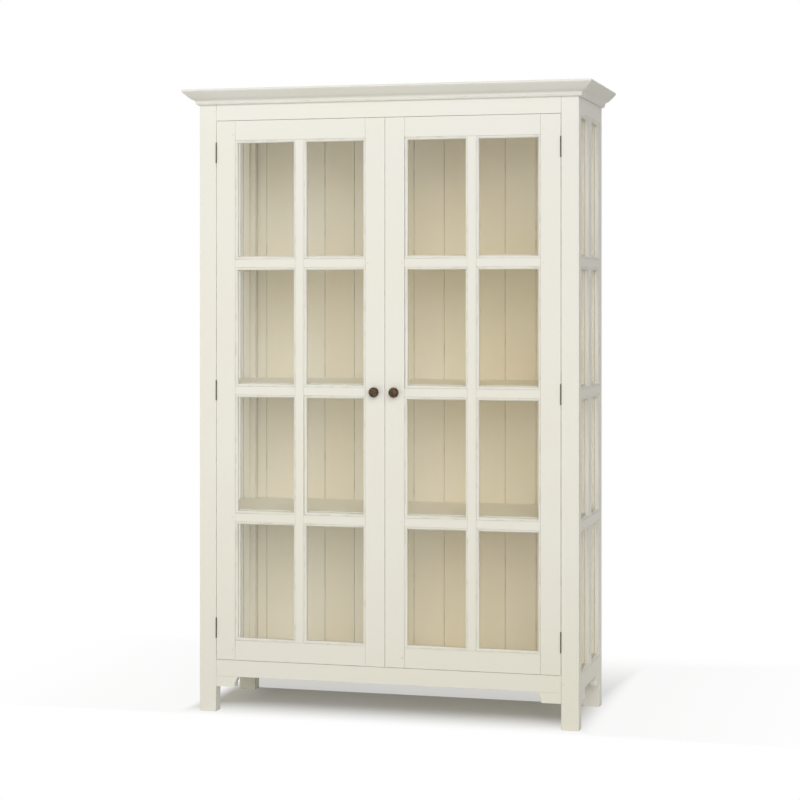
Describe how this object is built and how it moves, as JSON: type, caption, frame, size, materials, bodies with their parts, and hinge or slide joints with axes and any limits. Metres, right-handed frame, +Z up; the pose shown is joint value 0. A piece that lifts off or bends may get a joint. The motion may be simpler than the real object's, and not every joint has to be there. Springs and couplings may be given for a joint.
{
  "type": "bookcase with glass doors",
  "caption": "Tall painted wooden bookcase with hinged glazed doors, glazed sides, a plank back, inside shelves and a moulded crown, on square-cut feet.",
  "frame": {"origin": "on the floor, at the centre of the box round the whole bookcase, crown included", "axes": "+X to the right along the front, +Y to the back, +Z up; the doors face -Y"},
  "size_m": [1.312, 0.468, 1.972],
  "materials": {
    "painted_wood": "satin paint",
    "pane_glass": "clear",
    "dark_bronze": "dark oil-rubbed bronze",
    "strike_steel": "zinc plated",
    "catch_plastic": "matte"
  },
  "bodies": {
    "carcass": {"left_front_post": "painted_wood", "left_rear_post": "painted_wood", "left_side_bottom_rail": "painted_wood", "left_side_top_rail": "painted_wood", "left_side_muntins": "painted_wood", "left_side_glass": "pane_glass", "left_crown": "painted_wood", "left_front_bracket": "painted_wood", "left_side_bracket_front": "painted_wood", "left_side_bracket_rear": "painted_wood", "left_post_hinge_leaf_1": "dark_bronze", "left_post_hinge_leaf_2": "dark_bronze", "left_post_hinge_leaf_3": "dark_bronze", "right_front_post": "painted_wood", "right_rear_post": "painted_wood", "right_side_bottom_rail": "painted_wood", "right_side_top_rail": "painted_wood", "right_side_muntins": "painted_wood", "right_side_glass": "pane_glass", "right_crown": "painted_wood", "right_front_bracket": "painted_wood", "right_side_bracket_front": "painted_wood", "right_side_bracket_rear": "painted_wood", "right_post_hinge_leaf_1": "dark_bronze", "right_post_hinge_leaf_2": "dark_bronze", "right_post_hinge_leaf_3": "dark_bronze", "front_crown": "painted_wood", "front_bottom_rail": "painted_wood", "front_top_rail": "painted_wood", "rear_bottom_rail": "painted_wood", "rear_top_rail": "painted_wood", "back_planks": "painted_wood", "bottom_board": "painted_wood", "shelf_1": "painted_wood", "shelf_2": "painted_wood", "shelf_3": "painted_wood", "top_board": "painted_wood", "magnet_catch": "catch_plastic"},
    "left_door": {"left_door_hinge_stile": "painted_wood", "left_door_meeting_stile": "painted_wood", "left_door_bottom_rail": "painted_wood", "left_door_top_rail": "painted_wood", "left_door_muntins": "painted_wood", "left_door_glass": "pane_glass", "left_door_knob": "dark_bronze", "left_door_strike": "strike_steel", "left_door_hinge_leaf_1": "dark_bronze", "left_door_hinge_leaf_2": "dark_bronze", "left_door_hinge_leaf_3": "dark_bronze"},
    "right_door": {"right_door_hinge_stile": "painted_wood", "right_door_meeting_stile": "painted_wood", "right_door_bottom_rail": "painted_wood", "right_door_top_rail": "painted_wood", "right_door_muntins": "painted_wood", "right_door_glass": "pane_glass", "right_door_knob": "dark_bronze", "right_door_strike": "strike_steel", "right_door_hinge_leaf_1": "dark_bronze", "right_door_hinge_leaf_2": "dark_bronze", "right_door_hinge_leaf_3": "dark_bronze"}
  },
  "joints": [
    {"name": "left_door_hinge", "type": "hinge", "parent": "carcass", "child": "left_door", "pos_m": [-0.55425, -0.1904, 1.01975], "axis": [0, 0, -1], "range_deg": [0, 170]},
    {"name": "right_door_hinge", "type": "hinge", "parent": "carcass", "child": "right_door", "pos_m": [0.55425, -0.1904, 1.01975], "axis": [0, 0, 1], "range_deg": [0, 170]}
  ]
}
